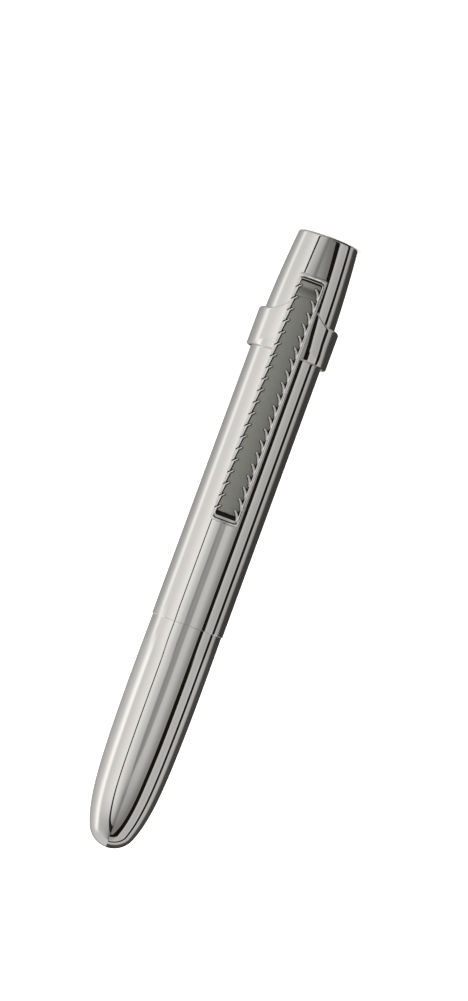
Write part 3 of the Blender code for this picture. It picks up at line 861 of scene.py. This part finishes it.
def blade_relief(across, height):
    """Front surface of the blade: its distance from the pen's axis plane."""
    side = blade_half(height) - np.abs(across)
    low_end = height - BLADE_LOW
    high_end = BLADE_HIGH - height
    edge = inner_distance(side, np.minimum(low_end, high_end), BLADE_CORNER)
    low_lane = lane(low_end, GROOVE_LOW, WALL_LOW)
    high_lane = lane(high_end, GROOVE_HIGH, WALL_HIGH)
    inward = inner_distance(side, np.minimum(low_lane, high_lane), LANE_CORNER)
    spikes = across > 0.0
    wall = np.where(spikes, spike_wall(height), WALL_SIDE)
    wall = np.where(np.minimum(low_lane, high_lane) < WALL_SIDE, WALL_SIDE, wall)
    at_end = np.minimum(low_lane, high_lane) < side
    near_end = np.clip((GROOVE_FADE - np.minimum(low_end, high_end)) / 4.0, 0.0, 1.0)
    faint = np.where(spikes, GROOVE_FAINT, GROOVE_FAINT + (GROOVE_DEPTH - GROOVE_FAINT) * near_end)
    depth = np.where(at_end, GROOVE_DEPTH, faint)
    groove_half = np.where(at_end & (low_end < 3.0), 1.3, 1.0) * GROOVE_HALF
    groove = np.clip(1.6 * (1.0 - np.abs(inward - GROOVE_SIDE) / groove_half), 0.0, 1.0)
    bead = np.clip(GROOVE_LOW - BEAD_FLAT - low_end, 0.0, None) ** 2 / (2.0 * BEAD_R)
    bead += np.clip(GROOVE_HIGH - BEAD_FLAT - high_end, 0.0, None) ** 2 / (2.0 * BEAD_R)
    ledge = np.where((low_end > GROOVE_LOW) & (low_lane < side), LEDGE_DEPTH, 0.0)
    ledge = np.where((high_end > GROOVE_HIGH) & (high_lane < side), LEDGE_DEPTH * 0.97, ledge)
    rim = crown(across) - rounding(edge, BLADE_EDGE) - rounding(wall - inward, WALL_EDGE)
    rim -= depth * groove + bead + ledge
    made = np.where(inward < wall, rim, BLADE_FLOOR)
    made = np.where((inward >= wall) & (high_end < SLOT_END), SLOT_FLOOR, made)
    cut = np.zeros(across.shape)
    for step in range(BARB_COUNT):
        above = height - (BARB_FIRST + BARB_PITCH * step)
        rows = np.flatnonzero((above[:, 0] > -0.5) & (above[:, 0] < 1.8))
        near = slice(rows[0], rows[-1] + 1)
        horn = distance_to(side[near], above[near], HORN, HORN_HALF)
        spike = distance_to(side[near], above[near], SPIKE, SPIKE_HALF)
        share = np.clip(1.0 - np.where(spikes[near], spike, horn) ** 2, 0.0, None)
        ridge = crown(across[near]) - BARB_SUNK - BARB_ROUND * (1.0 - np.sqrt(share))
        made[near] = np.where(share > 0.0, np.maximum(made[near], ridge), made[near])
        beside = distance_to(side[near], above[near], SPIKE, (NOTCH_HALF, NOTCH_HALF), NOTCH_OFFSET)
        notch = np.clip(1.4 * (1.0 - beside), 0.0, 1.0) * NOTCH_DEPTH
        cut[near] = np.where(spikes[near], np.maximum(cut[near], notch), cut[near])
    return np.maximum(made - cut, SLOT_FLOOR)


def side_stations():
    """Shares of the half width from the middle to the side, closer together over the rim."""
    shares = spread(0.0, 0.36, 5)[:-1] + spread(0.36, 0.965, 38)[:-1]
    return shares + spread(0.965, 0.992, 3) + [0.997, 1.0]


def blade_rows():
    ends = [0.0, 0.004, 0.015, 0.035, 0.065]
    rows = [BLADE_LOW + step for step in ends]
    rows += spread(BLADE_LOW + 0.10, BLADE_HIGH - 0.10, 880)
    return rows + [BLADE_HIGH - step for step in reversed(ends)]


def make_clip_blade():
    shares = side_stations()
    columns = np.array([-share for share in reversed(shares[1:])] + shares)
    rows = np.array(blade_rows())
    height = np.repeat(rows[:, None], len(columns), axis=1)
    across = columns[None, :] * outline_half(rows)[:, None]
    face = blade_relief(across, height)
    build = bmesh.new()
    grid = []
    for xs, ys, z in zip(across, -face, rows):
        grid.append([build.verts.new((x, y, z)) for x, y in zip(xs, ys)])
    for lower, upper in zip(grid, grid[1:]):
        for column in range(len(columns) - 1):
            build.faces.new((lower[column], lower[column + 1], upper[column + 1], upper[column]))
    rim = grid[0] + [line[-1] for line in grid[1:-1]] + list(reversed(grid[-1]))
    rim += [line[0] for line in reversed(grid[1:-1])]
    loops = [rim]
    for depth, inset in ((BLADE_BACK + 0.08, 0.0), (BLADE_BACK + 0.024, 0.03), (BLADE_BACK, 0.08)):
        loops.append([build.verts.new(inset_point(vert.co, inset, depth)) for vert in rim])
    for before, after in zip(loops, loops[1:]):
        join_loops(build, before, after)
    edges = loop_edges(build, loops[-1]) + add_foot(build)
    bmesh.ops.triangle_fill(build, use_beauty=True, edges=edges)
    bmesh.ops.recalc_face_normals(build, faces=build.faces)
    return finish_mesh("clip_blade_struck", build, struck_chrome("blade_chrome"), 62.0)


def inset_point(place_at, inset, depth):
    """A point of the blade's outline moved in by a small distance and back to a depth."""
    middle = 0.5 * (BLADE_LOW + BLADE_HIGH)
    across = place_at.x * (1.0 - inset / BLADE_HALF_LOW)
    along = middle + (place_at.z - middle) * (1.0 - inset / (BLADE_HIGH - middle))
    return across, -depth, along


def loop_edges(build, verts):
    edges = []
    for pair in around(verts):
        edges.append(build.edges.get(pair) or build.edges.new(pair))
    return edges


def add_foot(build):
    """The dome under the free end. Returns the edges of its base in the blade's back."""
    centre = FOOT_TIP + FOOT_R
    base = math.degrees(math.acos((centre - BLADE_BACK) / FOOT_R))
    rings = []
    for step in range(1, 11):
        tilt = math.radians(base * step / 10)
        radius = FOOT_R * math.sin(tilt)
        depth = centre - FOOT_R * math.cos(tilt)
        ring = []
        for side in range(32):
            angle = 2.0 * math.pi * side / 32
            spot = (radius * math.cos(angle), -depth, FOOT_HEIGHT + radius * math.sin(angle))
            ring.append(build.verts.new(spot))
        rings.append(ring)
    tip = build.verts.new((0.0, -FOOT_TIP, FOOT_HEIGHT))
    join_rings(build, [tip], rings[0])
    for near, far in zip(rings, rings[1:]):
        join_rings(build, near, far)
    return loop_edges(build, rings[-1])


# ---- inlay

def barb_slot(line, half, outer_gap, inner_gap, first_wall, last_wall):
    """Slot that a barb needs in the inlay, from the wall round the barb's tip and back.

    outer_gap is left on the side of the rim, inner_gap on the side of the middle. The slot
    starts first_wall in from the blade's side and ends last_wall in.
    """
    upper = []
    lower = []
    for index, point in enumerate(line):
        near = line[max(index - 1, 0)]
        far = line[min(index + 1, len(line) - 1)]
        run = (far - near).normalized()
        share = index / (len(line) - 1)
        width = half[0] + (half[1] - half[0]) * share + inner_gap
        room = width + (outer_gap - inner_gap) * min(1.0, share * 5.0)
        upper.append(point + Vector((-run.y, run.x)) * room)
        lower.append(point - Vector((-run.y, run.x)) * width)
    ahead = (line[0] - line[1]).normalized() * (half[0] + inner_gap)
    across = Vector((-ahead.y, ahead.x))
    tip = []
    for angle in spread(-75.0, 75.0, 8):
        turned = math.radians(angle)
        tip.append(line[0] + ahead * math.cos(turned) + across * math.sin(turned))
    path = list(reversed(upper)) + tip + lower
    start = next(index for index, point in enumerate(path) if point.x > first_wall)
    end = max(index for index, point in enumerate(path) if point.x > last_wall)
    kept = [cross_wall(path, start - 1, first_wall)] + path[start:end + 1]
    return kept + [cross_wall(path, end, last_wall)]


def cross_wall(path, index, wall):
    """Where a path crosses a wall between one of its points and the next."""
    before = path[max(index, 0)]
    after = path[min(max(index, 0) + 1, len(path) - 1)]
    if abs(after.x - before.x) < 1e-9:
        return before
    share = min(1.0, max(0.0, (wall - before.x) / (after.x - before.x)))
    return before.lerp(after, share)


def inlay_edge(slot, sign):
    """One long edge of the inlay with its cut corners, from its low to its high end."""
    half = blade_half(INLAY_LOW) - WALL_SIDE - 0.14
    corner = [(sign * (half - INLAY_CUT_IN), INLAY_LOW), (sign * half, INLAY_LOW + INLAY_CUT_UP)]
    points = list(corner)
    for step in range(BARB_COUNT):
        for point in slot:
            height = BARB_FIRST + BARB_PITCH * step + point.y
            if INLAY_LOW + 0.08 < height < INLAY_HIGH - 0.08:
                points.append((sign * (blade_half(height) - point.x), height))
    return points + [(across, INLAY_LOW + INLAY_HIGH - height) for across, height in reversed(corner)]


def make_clip_inlay():
    wall = WALL_SIDE + 0.04
    horns = inlay_edge(barb_slot(HORN, HORN_HALF, 0.28, 0.09, wall, wall), -1.0)
    slot = barb_slot(SPIKE, SPIKE_HALF, 0.13, 0.09, SCALLOP_OUT + 0.15, SCALLOP_IN + 0.13)
    spikes = inlay_edge(slot, 1.0)
    outline = spikes + list(reversed(horns))
    build = bmesh.new()
    back = [build.verts.new((across, -INLAY_BACK, height)) for across, height in outline]
    face = [build.verts.new((across, -INLAY_FACE, height)) for across, height in outline]
    join_loops(build, back, face)
    bmesh.ops.triangle_fill(build, use_beauty=True, edges=loop_edges(build, back))
    bmesh.ops.triangle_fill(build, use_beauty=True, edges=loop_edges(build, face))
    for cut in spread(-INLAY_CUTS, INLAY_CUTS, 14):
        everything = build.verts[:] + build.edges[:] + build.faces[:]
        plane = {"plane_co": (cut, 0.0, 0.0), "plane_no": (1.0, 0.0, 0.0)}
        bmesh.ops.bisect_plane(build, geom=everything, dist=1e-6, **plane)
    for vert in build.verts:
        if vert.co.y < -INLAY_FACE + 0.01:
            vert.co.y += vert.co.x ** 2 / (2.0 * INLAY_CROWN_R)
    bmesh.ops.recalc_face_normals(build, faces=build.faces)
    return finish_mesh("clip_inlay_blasted", build, satin_inlay("inlay_grey"), 30.0)


# ---- studio

AIM = Vector((-0.13, 0.0, 43.0))
CAMERA_DISTANCE = 523.5
CAMERA_HEIGHT = 63.67
CAMERA_AZIMUTH = math.radians(-1.3)
CAMERA_LENS = 121.7
LEAN = math.radians(20.18)  # lean of the pen's flat end to the right of upright


def make_camera():
    spot = Matrix.Rotation(CAMERA_AZIMUTH, 3, "Z") @ Vector((0.0, -CAMERA_DISTANCE, CAMERA_HEIGHT))
    ahead = (AIM - spot).normalized()
    down_pen = Vector((0.0, 0.0, -1.0))
    down_pen = (down_pen - ahead * down_pen.dot(ahead)).normalized()
    beside = ahead.cross(down_pen)
    upward = down_pen * math.cos(LEAN) - beside * math.sin(LEAN)
    right = ahead.cross(upward)
    data = bpy.data.cameras.new("camera")
    data.lens = CAMERA_LENS
    data.sensor_width = 36.0
    data.clip_start = 0.01
    data.clip_end = 20.0
    item = add_object("camera", data)
    turned = Matrix((right, upward, -ahead)).transposed()
    item.matrix_world = Matrix.Translation(spot * MM) @ turned.to_4x4()
    bpy.context.scene.camera = item


# Light around the pen, as (degrees from straight ahead of the clip, brightness from 0 to 255).
# Below: what a mirror sees that looks down along the pen. Above: what it sees looking up.
LEFT_BELOW = (
    (0, 142), (5.1, 142), (7, 133), (11.6, 132), (13.6, 178), (20.1, 184), (24.1, 194),
    (28.2, 205), (32.1, 213), (37.2, 222), (49.3, 226), (56.3, 224), (60.4, 219), (68.4, 212),
    (76.5, 206), (91.5, 205), (95, 213), (98.8, 230), (102.5, 237), (106, 233), (109.5, 219),
    (113, 199), (117, 186), (126, 169), (135, 160), (145.9, 152), (151, 147), (180, 125),
)
LEFT_ABOVE = (
    (0, 141), (3, 134), (9, 136), (11.1, 180), (16.1, 186), (20.1, 193), (24.1, 199),
    (28.2, 208), (32.1, 215), (46.3, 223), (60.4, 212), (68.5, 204), (76.5, 200), (80.2, 201),
    (83, 216), (85.6, 240), (92, 248), (96, 242), (99.5, 229), (103.5, 217), (107.5, 205),
    (112, 193), (125, 180), (138, 169), (150, 160), (180, 130),
)
RIGHT_BELOW = (
    (0, 142), (5.6, 142), (8.5, 182), (14.1, 187), (20.1, 185), (24.1, 182), (28.2, 167),
    (32.1, 158), (36.2, 147), (40.3, 136), (46.5, 132), (47.1, 14), (57.9, 14), (58.2, 186),
    (62.3, 182), (66.4, 171), (72.4, 168), (80.5, 162), (86, 170), (87.7, 177), (88.3, 14),
    (98.9, 14), (99.5, 172), (106, 162), (111, 153), (113.4, 143), (117.6, 86), (121.8, 59),
    (131.3, 54), (145.9, 55), (156, 57), (180, 55),
)
RIGHT_ABOVE = (
    (0, 141), (6.5, 141), (9.6, 184), (14.1, 187), (20.1, 184), (24.1, 178), (28.2, 167),
    (32.1, 158), (36.2, 146), (40.3, 136), (46.6, 138), (47.2, 10), (60.4, 10), (61.2, 192),
    (64.4, 182), (68.5, 175), (80.6, 174), (84.6, 183), (88.2, 188), (88.6, 12), (97.8, 12),
    (98.2, 188), (102, 182), (107, 172), (115, 166), (117.5, 131), (121, 84), (125, 64),
    (150, 60), (180, 58),
)
DEGREE = math.radians(1.0)
PLATE = 0.83  # how much light the chrome returns
SOFT_END = 166  # brightness of the left side towards the pen's nose
TIP_MIDDLE = 140  # and seen in the very tip of the nose, in its middle
TIP_SIDE = 190  # and at its side
CARD = 226  # brightness of a small card just below the camera
FLAG = 22  # brightness of the narrow flag on the left
LEFT_SHADE = 0.08  # shares of the light lost on the left, looking down along the pen
FLOOR_SHADE = 0.45  # and looking down steeply at the floor
WIDE_GREY = 0.27  # and straight ahead towards the pen's ends, in a wide zone
NARROW_GREY = 0.34  # and in the narrow one within it
WARMTH = (0.0060, 0.0038, 0.0015)  # warm light that fills even the darkest flags
PAPER = (1.7, 1.7, 1.7)  # the white paper all round


def linear(level):
    """Light that a display shows at a level from 0 to 255, allowing for the plate's loss."""
    share = level / 255.0
    bright = share / 12.92 if share < 0.04045 else ((share + 0.055) / 1.055) ** 2.4
    return bright / PLATE


def smooth(value, start, end):
    """0 below start and 1 above end, easing between them. Angles are in degrees."""
    return remap(value, start * DEGREE, end * DEGREE, kind="SMOOTHSTEP")


def window(value, start, end, soft):
    """1 between two angles in degrees and 0 outside them."""
    return smooth(value, start - soft, start + soft) - smooth(value, end - soft, end + soft)


def ramp(angle, stops):
    """Light by angle, from stops of (degrees, level)."""
    made = add_node(angle.socket.id_data, "ShaderNodeValToRGB", {"Fac": angle / math.pi})
    elements = made.color_ramp.elements
    while len(elements) < len(stops):
        elements.new(0.5)
    for element, (degrees, level) in zip(elements, stops):
        half = linear(level) * 0.5
        element.position = degrees / 180.0
        element.color = (half, half, half, 1.0)
    return Value(made.outputs["Color"]) * 2.0


def left_light(angle, rise, bearing, down, above):
    """The left side: graded boxes that even out towards the nose, and darker below."""
    light = mix(above, ramp(angle, LEFT_BELOW), ramp(angle, LEFT_ABOVE))
    evened = smooth(rise, 12.0, 42.0) * (1.0 - smooth(angle, 70.0, 88.0))
    light = mix(evened, light, linear(SOFT_END))
    aside = smooth(maths("ABSOLUTE", bearing), 0.0, 85.0)
    light = mix(smooth(rise, 28.0, 54.0), light, mix(aside, linear(TIP_MIDDLE), linear(TIP_SIDE)))
    return light * (1.0 - smooth(down, 5.0, 14.0) * LEFT_SHADE)


def right_light(angle, raised, down, above):
    """The right side: boxes and two flags, a little wider towards both ends."""
    widened = maths("MINIMUM", down * 0.55, 0.032) + 1.0
    below = ramp(angle * widened, RIGHT_BELOW)
    swelling = smooth(raised, 3.0, 10.0) * (1.0 - smooth(angle, 62.0, 82.0))
    return mix(above, below, ramp(angle * (swelling * 0.045 + 1.0), RIGHT_ABOVE))


def grey_ahead(raised, sunk, bearing, above):
    """How much the light straight ahead is dimmed towards both ends of the pen."""
    toward_end = maths("MAXIMUM", smooth(raised, 2.0, 18.0), smooth(sunk, 6.0, 26.0))
    start = mix(above, -36.0 * DEGREE, -16.0 * DEGREE)
    wide = smooth(bearing - start, -9.0, 9.0) * (1.0 - smooth(bearing, 37.0, 55.0))
    narrow = smooth(bearing, -14.0, -1.0) * (1.0 - smooth(bearing, -0.5, 4.0))
    return toward_end * (wide * WIDE_GREY + narrow * NARROW_GREY)


def narrow_flag(angle, up, down, above, on_right):
    """1 in the thin flag on the left, which is thicker towards both ends, and 0 elsewhere."""
    off_middle = maths("ABSOLUTE", angle - mix(above, 42.5 * DEGREE, 39.8 * DEGREE))
    half = down * 0.055 + up * 0.03 + 1.6 * DEGREE
    return (1.0 - smooth(off_middle - half, -0.4, 0.4)) * (1.0 - on_right)


def studio_light(tree):
    """Brightness of the long soft boxes and flags that the chrome mirrors.

    They are rings round the direction of the clip, which close up towards both ends. rise and
    bearing are a mirrored ray's angles up the pen and round it.
    """
    ray = Value(tree.nodes.new("ShaderNodeTexCoord").outputs["Generated"])
    turned = Matrix.Rotation(CAMERA_AZIMUTH, 3, "Z")
    forward = vector("DOT_PRODUCT", ray, turned @ Vector((0.0, -1.0, 0.0)), "Value")
    sideways = vector("DOT_PRODUCT", ray, turned @ Vector((-1.0, 0.0, 0.0)), "Value")
    rise = maths("ARCSINE", vector("DOT_PRODUCT", ray, (0.0, 0.0, 1.0), "Value"))
    bearing = maths("ARCTAN2", sideways, forward)
    on_right = remap(sideways, -0.015, 0.015, kind="SMOOTHSTEP")
    above = smooth(rise, -0.4, 0.4)
    up = maths("MAXIMUM", rise, 0.0)
    down = maths("MAXIMUM", -1.5 * DEGREE - rise, 0.0)
    swell = window(up, 46.0, 72.0, 9.0) * (4.0 * DEGREE) + smooth(up, 22.0, 34.0) * (2.0 * DEGREE)
    raised = up - swell
    sunk_right = maths("MINIMUM", down * 2.25, 84.0 * DEGREE)
    sunk_left = maths("MINIMUM", down * 1.45, 84.0 * DEGREE)
    lifted = raised + mix(on_right, sunk_left, sunk_right)
    angle = maths("ARCCOSINE", maths("COSINE", bearing) * maths("COSINE", lifted))

    left = left_light(angle, rise, bearing, down, above)
    light = mix(on_right, left, right_light(angle, raised, down, above))
    light = light * (1.0 - grey_ahead(raised, sunk_right, bearing, above))
    light = light * (1.0 - smooth(down, 22.0, 48.0) * FLOOR_SHADE)
    light = mix(narrow_flag(angle, up, down, above, on_right), light, linear(FLAG))
    in_card = window(bearing, -14.0, 14.0, 1.0) * window(rise, -10.5, -2.6, 0.5)
    return mix(in_card, light, linear(CARD))


def make_world():
    """White paper all round, with the studio light for mirrored rays."""
    world = bpy.data.worlds.new("studio")
    bpy.context.scene.world = world
    world.use_nodes = True
    world.cycles.sampling_method = "NONE"
    tree = world.node_tree
    warm = vector("ADD", studio_light(tree), WARMTH)
    path = tree.nodes.new("ShaderNodeLightPath")
    mirrored = Value(path.outputs["Is Glossy Ray"]) - Value(path.outputs["Is Camera Ray"])
    shown = mix(maths("MAXIMUM", mirrored, 0.0), PAPER, warm, "VECTOR")
    feed(tree.nodes["Background"].inputs["Color"], shown)


def make_lamp():
    """A large soft box high on the left. The chrome doesn't mirror it."""
    data = bpy.data.lights.new("soft_box", "AREA")
    data.shape = "DISK"
    data.size = 0.9
    data.energy = 4.0
    item = add_object("soft_box", data)
    spot = Vector((0.35, -0.55, 1.0))
    item.matrix_world = Matrix.Translation(spot) @ (-spot).to_track_quat("-Z", "Y").to_matrix().to_4x4()
    item.visible_glossy = False
    item.visible_camera = False


def make_floor():
    """Plain pale paper under the pen."""
    build = bmesh.new()
    bmesh.ops.create_grid(build, x_segments=8, y_segments=8, size=1500.0)
    bmesh.ops.translate(build, verts=build.verts, vec=(0.0, 0.0, -0.03))
    material = bpy.data.materials.new("paper_floor")
    material.use_nodes = True
    tree = material.node_tree
    tree.nodes.remove(tree.nodes["Principled BSDF"])
    matte = add_node(tree, "ShaderNodeBsdfDiffuse", {"Color": (0.86, 0.86, 0.855, 1.0)})
    tree.links.new(matte.outputs["BSDF"], tree.nodes["Material Output"].inputs["Surface"])
    floor = finish_mesh("floor", build, material)
    floor.visible_glossy = False


# ---- assembly

place(make_cap_shell(), "cap", "cap_shell")
place(make_cap_bush(), "cap", "cap_bush")
place(make_clip_band(), "clip_band", "clip_band")
place(make_clip_blade(), "clip_blade", "clip_blade")
place(make_clip_inlay(), "clip_blade", "clip_inlay")
place(make_section_sleeve(), "writing_unit", "section_sleeve")
place(make_seal_ring(), "writing_unit", "seal_ring")
place(make_refill_tube(), "writing_unit", "refill_tube")
place(make_refill_socket(), "writing_unit", "refill_socket")
place(make_refill_plug(), "writing_unit", "refill_plug")
place(make_refill_float(), "refill_float", "refill_float")
place(make_refill_ball(), "refill_ball", "refill_ball")
place(make_refill_spring(), "barrel_carrier", "refill_spring")
place(make_barrel_shell(), "barrel", "barrel_shell")
place(make_thread_insert(), "barrel", "thread_insert")

make_floor()
make_lamp()
make_world()
make_camera()
bpy.context.scene.view_settings.view_transform = "Standard"
